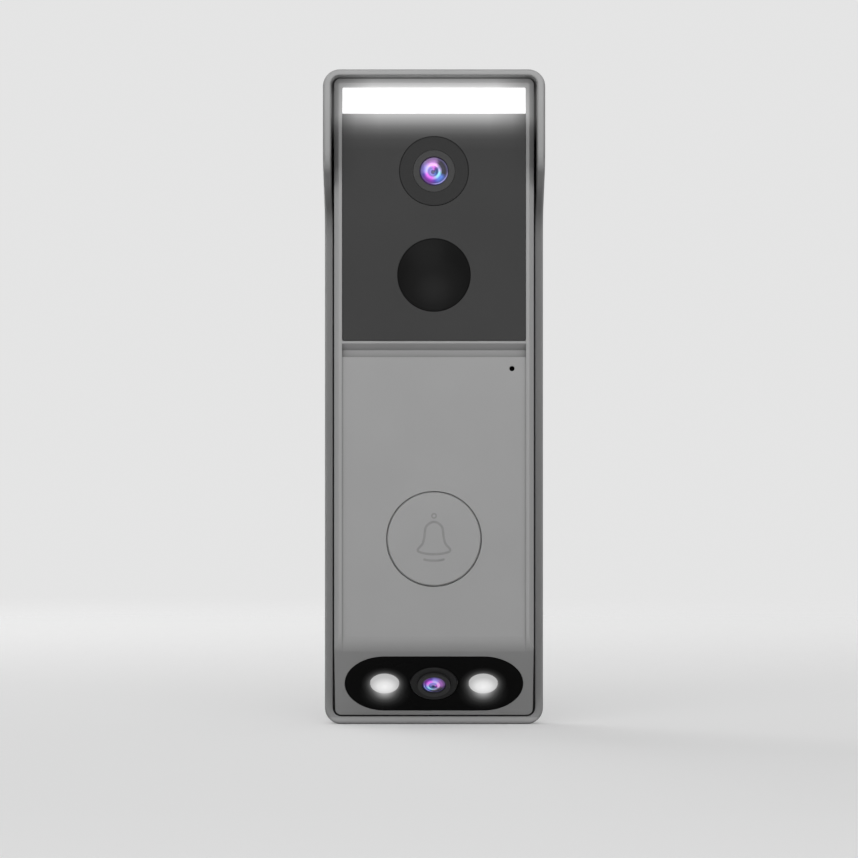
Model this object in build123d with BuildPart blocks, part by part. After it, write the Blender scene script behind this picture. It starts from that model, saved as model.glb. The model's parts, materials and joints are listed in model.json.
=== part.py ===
from build123d import *
from math import cos, radians, sin, tan
import os

os.makedirs("parts", exist_ok=True)

# Video doorbell in a rain hood, in millimetres.
# X points right as the caller sees it, Y into the wall, Z up.
# The origin lies on the wall plane, midway between the two wall screws.
# A depth is a distance from the wall plane towards the caller, so depth d lies at Y = -d.

# Driving dimensions of the rain hood
hood_width = 55.2
hood_height = 164.0
hood_wall = 2.0
hood_roof = 1.5
hood_back = 3.0
hood_corner = 4.2
hood_edge = 0.6
frame_depth = 9.0
visor_depth = 38.0
visor_drop = 24.0
visor_sweep = 12.0
visor_nose = 6.0
visor_root = 8.0
wall_screw_spacing = 110.0
wall_screw_radius = 2.2
wall_screw_head = 4.2
back_relief = 0.8
back_rim = 4.0
screw_pad = 7.0
cable_width = 24.0
cable_height = 13.0
cable_corner = 3.0

# Driving dimensions of the body
side_gap = 0.65
top_gap = 0.15
bottom_gap = 0.4
body_front = 27.5
shell_wall = 2.0
edge_chamfer = 1.1
rim_width = 1.95
rim_top = 2.25
face_recess = 0.4
cover_plate = 2.0
cover_rim = 4.0
gasket_thickness = 0.5
groove_lip = 0.55
groove_height = 3.4
groove_depth = 1.6
groove_root = 1.7
chin_tilt = 45.0
chin_lip = 0.1
chin_blend = 6.5
face_blend = 2.4
slope_blend = 2.0
chin_wall = 2.4

# Driving dimensions of the light bar and the dark window
bar_height = 6.55
bar_proud = 0.4
bar_edge = 0.2
bar_corner = 0.25
bar_ledge = 1.2
window_height = 56.9
window_thickness = 1.0
window_tape_thickness = 0.2
window_corner = 0.5
window_ledge = 2.0
window_fit = 0.1
reflector_wall = 0.9
reflector_depth = 3.2
light_board_thickness = 1.0
light_count = 8
light_margin = 2.1
light_side = 2.8
light_thickness = 0.7
light_connector_width = 10.0
light_connector_height = 3.0

# Driving dimensions of the main camera and the motion sensor
camera_drop = 14.35
camera_hole = 8.75
camera_opening = 5.25
camera_neck = 5.2
camera_barrel = 6.0
camera_element = 3.6
camera_setback = 0.05
camera_holder = 15.0
pir_rise = 16.55
pir_hole = 9.2
pir_dome = 1.4
pir_skin = 0.8
flange_width = 1.2
flange_thickness = 1.0
bezel_gap = 0.22
bezel_cone = 0.05
pir_can = 4.1
pir_can_base = 4.6
pir_can_height = 4.2
pir_base_height = 0.5
pir_socket_height = 2.0

# Shares of the height between a board and the front of its lens, and small lens sizes
foot_share = 0.22
shoulder_share = 0.74
element_share = 0.2
holder_share = 0.36
tower_share = 0.6
sensor_share = 0.07
element_seat = 0.5
element_sag = 0.5
holder_corner = 0.8
holder_wall = 1.1

# Driving dimensions of the bell button
button_rise = 26.4
button_radius = 11.75
button_gap = 0.22
button_edge = 0.3
button_crown = 1.8
button_skirt = 1.6
button_flange = 1.4
button_flange_thickness = 1.0
button_stem = 2.0
button_travel = 0.8
button_play = 0.15
membrane_height = 3.3
membrane_skin = 0.7
membrane_step = 1.2
membrane_land = 2.0
bracket_thickness = 1.5
bracket_post_x = 14.0
bracket_post_z = 11.5
bracket_post = 1.9
bracket_margin = 2.2
bracket_hole = 3.4
switch_side = 6.0
switch_height = 3.5
plunger_radius = 1.7
plunger_proud = 1.4
plunger_length = 2.8
plunger_gap = 0.1
contact_gap = 0.1

# Driving dimensions of the sound parts
mic_drop = 2.9
mic_inset = 3.5
mic_hole = 0.65
mic_boot_radius = 3.0
mic_boot_height = 3.6
mic_radius = 2.0
mic_height = 1.5
speaker_length = 20.0
speaker_height = 11.0
speaker_thickness = 4.6
speaker_drop = 9.2
speaker_frame_rim = 1.0
speaker_corner = 2.0
cone_taper = 30.0
speaker_cone_depth = 1.6
cone_inset = 1.5
speaker_cone_skin = 0.4
speaker_gasket_thickness = 0.8
slot_count = 7
slot_pitch = 2.6
slot_length = 8.4
slot_width = 1.3

# Driving dimensions of the chin
chin_side_margin = 2.55
chin_window_height = 20.0
chin_window_thickness = 1.2
chin_window_margin = 1.6
chin_window_fit = 0.1
chin_camera_hole = 6.1
chin_camera_opening = 4.3
chin_camera_seat = 1.0
chin_camera_neck = 4.15
chin_camera_barrel = 4.4
chin_camera_element = 3.0
chin_camera_proud = 0.7
chin_camera_holder = 11.2
chin_bezel_proud = 0.2
lamp_radius = 3.6
lamp_share = 0.525
lamp_dome = 0.4
lamp_gap = 0.15
lamp_foot = 2.4
lamp_pocket = 1.7
lamp_pocket_depth = 1.5
chin_post = 1.9
chin_post_height = 6.0
chin_post_inset = 2.4
chin_board_margin = 0.2
chin_board_height = 13.0
chin_board_thickness = 1.0
chin_led_side = 2.0
chin_led_thickness = 0.7
ribbon_width = 8.0
ribbon_thickness = 0.3
ribbon_bend = 2.0
ribbon_slack = 4.2
ribbon_lead = 1.8
ribbon_rise = 15.2
connector_width = 10.0
connector_length = 3.4
connector_thickness = 1.5

# Driving dimensions of the inner assembly
board_standoff = 6.6
board_thickness = 1.2
board_margin = 0.65
board_top_margin = 1.5
boss_inset = 3.55
boss_radius = 2.6
boss_web = 1.6
boss_top_drop = 5.5
boss_mid_rise = 3.85
boss_low_rise = 6.2
standoff_radius = 2.9
screw_radius = 1.2
screw_head = 2.1
screw_head_height = 1.6
screw_grip = 9.0
screw_fit = 0.05
screw_sink = 0.2
small_screw_radius = 0.8
small_screw_head = 1.6
small_screw_head_height = 1.2
small_screw_grip = 3.4
drive_span_share = 0.62
drive_width_share = 0.24
drive_depth = 0.7
battery_inset = 2.95
battery_thickness = 5.6
battery_corner = 1.5
battery_gap = 0.6
radio_width = 15.0
radio_length = 19.0
radio_thickness = 2.6
processor_side = 11.0
processor_thickness = 1.4
chip_drop = 16.0
chip_gap = 1.5
antenna_length = 30.0
antenna_width = 8.0
antenna_thickness = 0.2
terminal_depth = 4.0
terminal_wall = 1.5
terminal_pitch = 11.0
terminal_post = 2.2
terminal_flange = 3.2
terminal_flange_thickness = 1.0
terminal_screw = 1.2
terminal_head = 2.8
terminal_head_height = 2.0
tab_width = 8.0
tab_spacing = 28.0
tab_inset = 1.0
tab_thickness = 1.4
tab_reach = 1.0
tab_fit = 0.2
security_screw_radius = 1.25
security_screw_head = 2.4
security_screw_length = 7.0
security_drive = 1.3
security_pin = 0.4
security_drive_depth = 1.1
security_boss = 2.2
security_boss_height = 4.5

# Places that follow from the dimensions
inner_width = hood_width - 2 * hood_wall
inner_top = hood_height / 2 - hood_roof
inner_bottom = -hood_height / 2 + hood_wall
inner_corner = hood_corner - hood_wall
body_width = inner_width - 2 * side_gap
body_top = inner_top - top_gap
body_bottom = inner_bottom + bottom_gap
body_corner = inner_corner - side_gap
cover_back = hood_back
cover_inner = cover_back + cover_plate
shell_back = cover_back + cover_rim + gasket_thickness
face_front = body_front - face_recess
face_inner = face_front - shell_wall
cavity_half = body_width / 2 - shell_wall
cavity_top = body_top - shell_wall
cavity_bottom = body_bottom + shell_wall
face_half = body_width / 2 - rim_width
board_back = cover_inner + board_standoff
board_front = board_back + board_thickness

bar_top = body_top - rim_top
window_top = bar_top - bar_height
window_bottom = window_top - window_height
pocket_floor = face_front - window_thickness - window_tape_thickness
groove_top = window_bottom - groove_lip
groove_bottom = groove_top - groove_height
camera_z = window_top - camera_drop
pir_z = window_bottom + pir_rise
mic_x = face_half - mic_inset
mic_z = groove_bottom - mic_drop
speaker_z = groove_bottom - speaker_drop - speaker_length / 2
speaker_depth = (board_front + face_inner) / 2

tilt = radians(chin_tilt)
chin_foot = frame_depth + chin_lip
chin_top = body_bottom + (body_front - chin_foot) / tan(tilt)
chin_rise = chin_window_margin + chin_window_height / 2
chin_depth = chin_foot + chin_rise * sin(tilt)
chin_z = body_bottom + chin_rise * cos(tilt)
button_z = chin_top + button_rise

boss_x = cavity_half - boss_inset
boss_heights = [window_top - boss_top_drop, window_bottom + boss_mid_rise, chin_top + boss_low_rise]
boss_places = [(side * boss_x, height) for height in boss_heights for side in (-1, 1)]
chin_window_width = body_width - 2 * chin_side_margin
chin_post_x = chin_window_width / 2 - chin_post_inset
chin_board_width = 2 * (chin_post_x + chin_post + chin_board_margin)
lamp_x = chin_camera_hole + lamp_share * (chin_post_x - chin_post - chin_camera_hole)
lamp_places = [(-lamp_x, 0), (lamp_x, 0)]
chin_post_places = [(-chin_post_x, 0), (chin_post_x, 0)]
bracket_places = [(x, button_z + z) for x in (-bracket_post_x, bracket_post_x)
                  for z in (-bracket_post_z, bracket_post_z)]
terminal_places = [(-terminal_pitch / 2, pir_z), (terminal_pitch / 2, pir_z)]
tab_back = cover_back + tab_inset
tab_places = [-tab_spacing / 2, tab_spacing / 2]
security_depth = cover_back + security_boss
terminal_floor = cover_back + terminal_depth
terminal_inside = terminal_floor + terminal_wall
screw_seat = cover_back + screw_head_height + screw_sink

flange_front = face_inner - button_play
flange_back = flange_front - button_flange_thickness
bracket_front = flange_back - membrane_height
bracket_back = bracket_front - bracket_thickness
crown_back = face_front - button_crown
switch_front = board_front + switch_height
plunger_front = switch_front + plunger_proud
plunger_back = plunger_front - plunger_length
stem_end = plunger_front + contact_gap
membrane_inner = button_radius - button_skirt
membrane_foot = membrane_inner + 2 * membrane_step + membrane_land

window_back = face_front - window_thickness
bezel_back = window_back - flange_thickness
light_back = face_inner - reflector_depth
bar_z = bar_top - bar_height / 2
bar_half = face_half - window_ledge
light_pitch = 2 * (bar_half - light_margin - light_side / 2) / (light_count - 1)
chin_floor = -chin_window_thickness
chin_inside = -chin_wall
chin_board_front = chin_inside - chin_post_height
chin_board_back = chin_board_front - chin_board_thickness
inner_foot = chin_foot + shell_wall * tan(tilt) - chin_wall / cos(tilt)
inner_chin_top = body_bottom + (face_inner - chin_foot + chin_wall / cos(tilt)) / tan(tilt)
board_half = cavity_half - board_margin
chip_z = groove_bottom - chip_drop

outward = Vector(0, -1, 0)
chin_outward = Vector(0, -cos(tilt), -sin(tilt))


def facing(depth, height=0.0, x=0.0):
    """Plane parallel to the wall at a depth, looking at the caller: local x is X, local y is Z."""
    return Plane(origin=(x, -depth, height), x_dir=(1, 0, 0), z_dir=outward)


def from_behind(depth):
    """Plane parallel to the wall at a depth, looking at the wall: local y is Z."""
    return Plane(origin=(0, -depth, 0), x_dir=(-1, 0, 0), z_dir=-outward)


def on_chin(level=0.0, x=0.0):
    """Plane on the chin's slope at the middle of its window, raised by a level."""
    place = Vector(x, -chin_depth, chin_z) + chin_outward * level
    return Plane(origin=place, x_dir=(1, 0, 0), z_dir=chin_outward)


def turning(view):
    """Plane through the axis of a turned piece: local x is the radius, local y runs outward."""
    return Plane(origin=view.origin, x_dir=view.x_dir, z_dir=view.x_dir.cross(view.z_dir))


def turned(view, points, mode=Mode.ADD):
    """Turn a closed outline of (radius, height) points about a view's axis."""
    with BuildSketch(turning(view)) as outline:
        with BuildLine():
            Polyline(*points, close=True)
        make_face()
    revolve(outline.sketch, axis=Axis(view.origin, view.z_dir), mode=mode)


def screw(view, head_back, seat, tip, radius, head):
    """Screw with a flat round head and a cross recess, from the back of its head to its tip."""
    turned(view, [(0, head_back), (head, head_back), (head, seat), (radius, seat), (radius, tip), (0, tip)])
    with BuildSketch(view.offset(head_back)) as recess:
        Rectangle(2 * drive_span_share * head, drive_width_share * head)
        Rectangle(drive_width_share * head, 2 * drive_span_share * head)
    extrude(recess.sketch, amount=drive_depth, mode=Mode.SUBTRACT)


def body_outline():
    """Rounded outline of the body, seen from the front."""
    with Locations((0, (body_top + body_bottom) / 2)):
        RectangleRounded(body_width, body_top - body_bottom, body_corner)


def span(half_width, low, high, mode=Mode.ADD):
    """Rectangle across the body between two heights."""
    with Locations((0, (low + high) / 2)):
        Rectangle(2 * half_width, high - low, mode=mode)


def cavity_outline(mode=Mode.ADD):
    """Outline of the room inside the walls, seen from the front."""
    span(cavity_half, cavity_bottom, cavity_top, mode)


# Rain hood: a solid block cut to the visor's side profile, then hollowed from the front
with BuildPart(facing(hood_back)) as rain_hood:
    with BuildSketch(facing(0)):
        RectangleRounded(hood_width, hood_height, hood_corner)
    extrude(amount=visor_depth)
    half_height = hood_height / 2
    nose = (-visor_depth, half_height - visor_drop)
    root = (-frame_depth, half_height - visor_drop - visor_sweep)
    with BuildSketch(Plane.YZ) as hood_profile:
        with BuildLine():
            Polyline((0, half_height), (-visor_depth, half_height), nose, root,
                     (-frame_depth, -half_height), (0, -half_height), close=True)
        make_face()
        fillet(hood_profile.vertices().sort_by_distance(nose)[0], visor_nose)
        fillet(hood_profile.vertices().sort_by_distance(root)[0], visor_root)
    extrude(amount=hood_width, both=True, mode=Mode.INTERSECT)
    upright = rain_hood.edges().filter_by(lambda edge: edge.bounding_box().max.Y < -frame_depth / 2)
    below_roof = half_height - hood_corner / 2
    across = upright.filter_by(Axis.X).filter_by(lambda edge: abs(edge.center().Z) < below_roof)
    seams = upright.filter_by(Axis.Y)
    fillet([edge for edge in upright if edge not in across and edge not in seams], hood_edge)
    with BuildSketch(facing(hood_back)):
        with Locations((0, (inner_top + inner_bottom) / 2)):
            RectangleRounded(inner_width, inner_top - inner_bottom, inner_corner)
    extrude(amount=visor_depth, mode=Mode.SUBTRACT)
    with BuildSketch(facing(0)):
        RectangleRounded(hood_width - 2 * back_rim, hood_height - 2 * back_rim, hood_corner)
        with GridLocations(0, wall_screw_spacing, 1, 2):
            Circle(screw_pad, mode=Mode.SUBTRACT)
    extrude(amount=back_relief, mode=Mode.SUBTRACT)
    with BuildSketch(facing(0, pir_z)):
        RectangleRounded(cable_width, cable_height, cable_corner)
    extrude(amount=hood_back, mode=Mode.SUBTRACT)
    with GridLocations(0, wall_screw_spacing, 1, 2):
        CounterSinkHole(wall_screw_radius, wall_screw_head, counter_sink_angle=90)
    with BuildSketch(facing(tab_back)):
        with Locations(*[(x, inner_top) for x in tab_places]):
            Rectangle(tab_width, 2 * (top_gap + tab_reach))
    extrude(amount=tab_thickness)
    under = Plane(origin=(0, -security_depth, -hood_height / 2), x_dir=(1, 0, 0), z_dir=(0, 0, -1))
    security_hole = security_screw_radius + screw_fit
    security_cone = security_screw_radius - security_screw_head
    turned(under, [(0, 0), (security_screw_head + screw_fit, 0), (security_hole, security_cone),
                   (security_hole, -hood_wall), (0, -hood_wall)], mode=Mode.SUBTRACT)

# Rear cover: a shallow tray with standoffs for the board and a sunk box for the wiring terminals
with BuildPart(from_behind(cover_back)) as rear_cover:
    with BuildSketch(facing(cover_back)):
        body_outline()
    extrude(amount=cover_rim)
    with BuildSketch(facing(cover_inner)):
        cavity_outline()
    extrude(amount=cover_rim, mode=Mode.SUBTRACT)
    with BuildSketch(facing(cover_inner)):
        with Locations(*boss_places):
            Circle(standoff_radius)
    extrude(amount=board_standoff)
    with BuildSketch(facing(cover_inner, pir_z)):
        RectangleRounded(cable_width + 2 * terminal_wall, cable_height + 2 * terminal_wall,
                         cable_corner + terminal_wall)
    extrude(amount=terminal_inside - cover_inner)
    with BuildSketch(facing(cover_back, pir_z)):
        RectangleRounded(cable_width, cable_height, cable_corner)
    extrude(amount=terminal_depth, mode=Mode.SUBTRACT)
    with BuildSketch(facing(terminal_floor)):
        with Locations(*terminal_places):
            Circle(terminal_post + screw_fit)
    extrude(amount=terminal_wall, mode=Mode.SUBTRACT)
    with BuildSketch(facing(tab_back - tab_fit)):
        with Locations(*[(x, body_top) for x in tab_places]):
            Rectangle(tab_width + 2 * tab_fit, 2 * (tab_reach + tab_fit))
    extrude(amount=tab_thickness + 2 * tab_fit, mode=Mode.SUBTRACT)
    with BuildSketch(Plane.XY.offset(cavity_bottom)):
        with Locations((0, -security_depth)):
            Circle(security_boss)
    extrude(amount=security_boss_height)
    security_tip = -security_screw_length - screw_fit
    turned(under, [(0, 0), (security_hole, 0), (security_hole, security_tip), (0, security_tip)],
           mode=Mode.SUBTRACT)
    with Locations(*boss_places):
        CounterBoreHole(screw_radius + screw_fit, screw_head + screw_sink, screw_seat - cover_back)

with BuildPart() as security_screw:
    turned(under, [(0, 0), (security_screw_head, 0), (security_screw_radius, security_cone),
                   (security_screw_radius, -security_screw_length), (0, -security_screw_length)])
    with BuildSketch(under):
        RegularPolygon(security_drive, 6)
        Circle(security_pin, mode=Mode.SUBTRACT)
    extrude(amount=-security_drive_depth, mode=Mode.SUBTRACT)

with BuildPart() as housing_gasket:
    with BuildSketch(facing(cover_back + cover_rim)):
        body_outline()
        cavity_outline(Mode.SUBTRACT)
    extrude(amount=gasket_thickness)

with BuildPart() as housing_screws:
    for x, z in boss_places:
        screw(facing(0, z, x), screw_seat - screw_head_height, screw_seat, board_front + screw_grip,
              screw_radius, screw_head)

# Front shell: one moulding with the rim, the window pocket, the groove, the face and the slanted chin
with BuildPart() as front_shell:
    with BuildSketch(facing(shell_back)):
        body_outline()
    extrude(amount=body_front - shell_back)
    chamfer(front_shell.faces().sort_by(Axis.Y)[0].edges(), edge_chamfer)
    with BuildSketch(Plane.YZ) as shell_profile:
        with BuildLine():
            Polyline((-shell_back, body_top), (-body_front, body_top), (-body_front, chin_top),
                     (-chin_foot, body_bottom), (-shell_back, body_bottom), close=True)
        make_face()
        fillet(shell_profile.vertices().sort_by_distance((-body_front, chin_top))[0], chin_blend)
    extrude(amount=body_width, both=True, mode=Mode.INTERSECT)
    with BuildSketch(Plane.YZ):
        with BuildLine():
            Polyline((-shell_back, cavity_top), (-face_inner, cavity_top), (-face_inner, inner_chin_top),
                     (-inner_foot, cavity_bottom), (-shell_back, cavity_bottom), close=True)
        make_face()
    extrude(amount=cavity_half, both=True, mode=Mode.SUBTRACT)

    # Sunk face, groove and window pocket with its ledges
    face_foot = chin_top - face_recess / tan(tilt)
    blend_top = (-face_front, face_foot + face_blend)
    blend_end = (slope_blend * sin(tilt) - face_front, face_foot - slope_blend * cos(tilt))
    with BuildSketch(Plane.YZ):
        with BuildLine():
            TangentArc(blend_top, blend_end, tangent=(0, -1))
            Polyline(blend_end, (-body_front, blend_end[1]), (-body_front, groove_bottom),
                     (-face_front, groove_bottom), blend_top)
        make_face()
    extrude(amount=face_half, both=True, mode=Mode.SUBTRACT)
    groove_floor = groove_depth - body_front
    with BuildSketch(Plane.YZ):
        with BuildLine():
            Polyline((-body_front, groove_top), (groove_floor, groove_top - groove_root),
                     (groove_floor, groove_bottom), (-body_front, groove_bottom), close=True)
        make_face()
    extrude(amount=face_half, both=True, mode=Mode.SUBTRACT)
    with BuildSketch(facing(pocket_floor)) as pocket:
        span(face_half, window_bottom, bar_top)
        corners = pocket.vertices().group_by(Axis.Y)
        fillet(corners[0], window_corner)
        fillet(corners[-1], bar_corner)
    extrude(amount=body_front - pocket_floor, mode=Mode.SUBTRACT)
    with BuildSketch(facing(face_inner)):
        span(bar_half, window_bottom + window_ledge, window_top - bar_ledge)
        span(bar_half, window_top + bar_ledge, bar_top - bar_ledge)
    extrude(amount=pocket_floor - face_inner, mode=Mode.SUBTRACT)

    # Screw bosses tied to the side walls, and posts for the button bracket
    web_reach = cavity_half + shell_wall / 4 - boss_x
    with BuildSketch(facing(board_front)):
        with Locations(*boss_places):
            Circle(boss_radius)
        for height in boss_heights:
            with Locations((-boss_x - web_reach / 2, height), (boss_x + web_reach / 2, height)):
                Rectangle(web_reach, boss_web)
    extrude(amount=face_inner - board_front)
    with BuildSketch(facing(board_front)):
        with Locations(*boss_places):
            Circle(screw_radius + screw_fit)
    extrude(amount=screw_grip + screw_fit, mode=Mode.SUBTRACT)
    with BuildSketch(facing(bracket_front)):
        with Locations(*bracket_places):
            Circle(bracket_post)
    extrude(amount=face_inner - bracket_front)
    with BuildSketch(facing(bracket_front)):
        with Locations(*bracket_places):
            Circle(small_screw_radius + screw_fit)
    extrude(amount=small_screw_grip + screw_fit, mode=Mode.SUBTRACT)

    # Openings for the button, the microphone and the speaker
    with BuildSketch(facing(face_inner)):
        with Locations((0, button_z)):
            Circle(button_radius + button_gap)
        with Locations((mic_x, mic_z)):
            Circle(mic_hole)
    extrude(amount=shell_wall, mode=Mode.SUBTRACT)
    side_view = Plane(origin=(cavity_half, -speaker_depth, speaker_z), x_dir=(0, 1, 0), z_dir=(1, 0, 0))
    with BuildSketch(side_view):
        with GridLocations(0, slot_pitch, 1, slot_count):
            SlotOverall(slot_length, slot_width)
    extrude(amount=shell_wall, mode=Mode.SUBTRACT)

    # Chin: window pocket, three holes through its floor and two posts for the chin board
    with BuildSketch(on_chin(chin_floor)):
        SlotOverall(chin_window_width + 2 * chin_window_fit, chin_window_height + 2 * chin_window_fit)
    extrude(amount=2 * chin_window_thickness, mode=Mode.SUBTRACT)
    with BuildSketch(on_chin(chin_inside)):
        Circle(chin_camera_hole - chin_camera_seat)
        with Locations(*lamp_places):
            Circle(lamp_radius + lamp_gap)
    extrude(amount=chin_floor - chin_inside, mode=Mode.SUBTRACT)
    with BuildSketch(on_chin(chin_board_front)):
        with Locations(*chin_post_places):
            Circle(chin_post)
    extrude(amount=chin_post_height)
    with BuildSketch(on_chin(chin_board_front)):
        with Locations(*chin_post_places):
            Circle(small_screw_radius + screw_fit)
    extrude(amount=small_screw_grip + screw_fit, mode=Mode.SUBTRACT)

# Light bar under the visor: diffuser, reflector trough, board and LEDs
with BuildPart() as light_diffuser:
    with BuildSketch(facing(pocket_floor)):
        span(face_half - window_fit, window_top + window_fit / 2, bar_top - window_fit)
    extrude(amount=body_front + bar_proud - pocket_floor)
    fillet(light_diffuser.edges().filter_by(Axis.Y).group_by(Axis.Z)[-1], bar_corner)
    chamfer(light_diffuser.faces().sort_by(Axis.Y)[0].edges(), bar_edge)

with BuildPart() as light_reflector:
    with BuildSketch(facing(light_back)):
        span(bar_half + reflector_wall, window_top + bar_ledge - reflector_wall,
             bar_top - bar_ledge + reflector_wall)
        span(bar_half, window_top + bar_ledge, bar_top - bar_ledge, Mode.SUBTRACT)
    extrude(amount=reflector_depth)

with BuildPart() as light_board:
    with BuildSketch(facing(light_back - light_board_thickness)):
        span(bar_half + reflector_wall, window_top + bar_ledge - reflector_wall,
             bar_top - bar_ledge + reflector_wall)
    extrude(amount=light_board_thickness)

with BuildPart() as light_leds:
    with BuildSketch(facing(light_back, bar_z)):
        with GridLocations(light_pitch, 0, light_count, 1):
            Rectangle(light_side, light_side)
    extrude(amount=light_thickness)

# Dark window with its tape
with BuildPart() as front_window:
    with BuildSketch(facing(window_back)):
        span(face_half - window_fit, window_bottom + window_fit, window_top - window_fit / 2)
        with Locations((0, camera_z)):
            Circle(camera_hole, mode=Mode.SUBTRACT)
        with Locations((0, pir_z)):
            Circle(pir_hole, mode=Mode.SUBTRACT)
    extrude(amount=window_thickness)
    fillet(front_window.edges().filter_by(Axis.Y).group_by(Axis.Z)[0], window_corner)

with BuildPart() as window_tape:
    with BuildSketch(facing(pocket_floor)):
        span(face_half - window_fit, window_bottom + window_corner, window_top - window_fit / 2)
        span(bar_half, window_bottom + window_ledge, window_top - bar_ledge, Mode.SUBTRACT)
    extrude(amount=window_tape_thickness)

# Cameras: each has a bezel in its window, a barrel with a front element, a holder and an image sensor


def lens_stack(view, board, front, neck, barrel, element, side):
    """Barrel, front element, holder and image sensor between a board and the front of a lens."""
    stack = front - board
    foot = board + foot_share * stack
    shoulder = board + shoulder_share * stack
    seat = front - element_share * stack
    bore = barrel + screw_fit
    throat = element - element_seat
    with BuildPart() as lens_barrel:
        turned(view, [(throat, foot), (barrel, foot), (barrel, shoulder), (neck, shoulder), (neck, front),
                      (element + screw_fit, front), (element + screw_fit, seat), (throat, seat)])
    with BuildPart() as front_element:
        with BuildSketch(turning(view)):
            with BuildLine():
                TangentArc((0, front), (element, front - element_sag), tangent=(1, 0))
                Polyline((element, front - element_sag), (element, seat), (0, seat), (0, front))
            make_face()
        revolve(axis=Axis(view.origin, view.z_dir))
    with BuildPart() as lens_holder:
        with BuildSketch(view.offset(board)):
            RectangleRounded(side, side, holder_corner)
        extrude(amount=holder_share * stack)
        with BuildSketch(view.offset(board)):
            Circle(barrel + holder_wall)
        extrude(amount=tower_share * stack)
        with BuildSketch(view.offset(board)):
            Circle(bore)
        extrude(amount=stack, mode=Mode.SUBTRACT)
    with BuildPart() as image_sensor:
        with BuildSketch(view.offset(board)):
            Rectangle(barrel, barrel)
        extrude(amount=sensor_share * stack)
    return lens_barrel, front_element, lens_holder, image_sensor


with BuildPart() as camera_bezel:
    bezel_rim = camera_hole - bezel_gap
    turned(facing(0, camera_z), [(camera_opening, bezel_back), (bezel_rim + flange_width, bezel_back),
                                 (bezel_rim + flange_width, window_back), (bezel_rim, window_back),
                                 (bezel_rim, face_front), (camera_opening + bezel_cone, face_front),
                                 (camera_opening, face_front - bezel_cone)])

camera_barrel_part, camera_glass, camera_holder_part, camera_sensor = lens_stack(
    facing(0, camera_z), board_front, face_front - camera_setback, camera_neck, camera_barrel,
    camera_element, camera_holder)

# Motion sensor: a thin domed lens in the window, and a sensor can on its socket
pir_view = facing(0, pir_z)
with BuildPart() as pir_lens:
    pir_rim = pir_hole - bezel_gap
    pir_flange = pir_rim + flange_width
    pir_inner = pir_rim - pir_skin
    pir_top = face_front + pir_dome
    pir_shoulder = (pir_inner, face_front - pir_skin)
    pir_ball = (pir_rim ** 2 + pir_dome ** 2) / (2 * pir_dome)
    turned(pir_view, [(0, bezel_back), (pir_flange, bezel_back), (pir_flange, window_back),
                      (pir_rim, window_back), (pir_rim, pir_top), (0, pir_top)])
    with Locations((0, pir_ball - pir_top, pir_z)):
        Sphere(pir_ball, mode=Mode.INTERSECT)
    with BuildSketch(turning(pir_view)):
        with BuildLine():
            TangentArc((0, pir_top - pir_skin), pir_shoulder, tangent=(1, 0))
            Polyline(pir_shoulder, (pir_inner, bezel_back), (0, bezel_back), (0, pir_top - pir_skin))
        make_face()
    revolve(axis=Axis(pir_view.origin, outward), mode=Mode.SUBTRACT)

pir_seat = board_front + pir_socket_height
with BuildPart() as pir_socket:
    with BuildSketch(facing(board_front, pir_z)):
        Circle(pir_can_base)
    extrude(amount=pir_socket_height)

with BuildPart() as pir_sensor:
    can_foot = pir_seat + pir_base_height
    can_top = pir_seat + pir_can_height
    turned(pir_view, [(0, pir_seat), (pir_can_base, pir_seat), (pir_can_base, can_foot),
                      (pir_can, can_foot), (pir_can, can_top), (0, can_top)])
    with BuildSketch(facing(can_top, pir_z)):
        Rectangle(pir_can, pir_can)
    extrude(amount=-pir_base_height, mode=Mode.SUBTRACT)

# Bell button: cap with a stem, silicone membrane on a bracket, and the tact switch it presses
button_view = facing(0, button_z)
with BuildPart() as button_cap:
    cap_flange = button_radius + button_flange
    cap_skirt = button_radius - button_skirt
    turned(button_view, [(0, face_front), (button_radius - button_edge, face_front),
                         (button_radius, face_front - button_edge), (button_radius, flange_front),
                         (cap_flange, flange_front), (cap_flange, flange_back), (cap_skirt, flange_back),
                         (cap_skirt, crown_back), (button_stem, crown_back), (button_stem, stem_end),
                         (0, stem_end)])

with BuildPart() as button_membrane:
    membrane_top = flange_back - contact_gap
    membrane_edge = membrane_inner + membrane_land
    membrane_rest = bracket_front + membrane_skin
    turned(button_view, [(membrane_inner, membrane_top), (membrane_edge, membrane_top),
                         (membrane_edge + membrane_step, membrane_rest), (membrane_foot, membrane_rest),
                         (membrane_foot, bracket_front), (membrane_edge + membrane_step / 2, bracket_front),
                         (membrane_edge - membrane_step / 2, membrane_top - membrane_skin),
                         (membrane_inner, membrane_top - membrane_skin)])

with BuildPart() as button_bracket:
    with BuildSketch(facing(bracket_back, button_z)):
        RectangleRounded(2 * (bracket_post_x + bracket_margin), 2 * (bracket_post_z + bracket_margin),
                         bracket_margin)
        Circle(membrane_foot + membrane_skin)
        Circle(bracket_hole, mode=Mode.SUBTRACT)
        with GridLocations(2 * bracket_post_x, 2 * bracket_post_z, 2, 2):
            Circle(small_screw_radius + screw_fit, mode=Mode.SUBTRACT)
    extrude(amount=bracket_thickness)

with BuildPart() as bracket_screws:
    for x, z in bracket_places:
        screw(facing(0, z, x), bracket_back - small_screw_head_height, bracket_back,
              bracket_front + small_screw_grip, small_screw_radius, small_screw_head)

with BuildPart() as switch_body:
    with BuildSketch(facing(board_front, button_z)):
        Rectangle(switch_side, switch_side)
    extrude(amount=switch_height)
    with BuildSketch(facing(plunger_back - button_travel - contact_gap, button_z)):
        Circle(plunger_radius + plunger_gap)
    extrude(amount=switch_height, mode=Mode.SUBTRACT)

with BuildPart() as switch_plunger:
    with BuildSketch(facing(plunger_back, button_z)):
        Circle(plunger_radius)
    extrude(amount=plunger_length)

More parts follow.
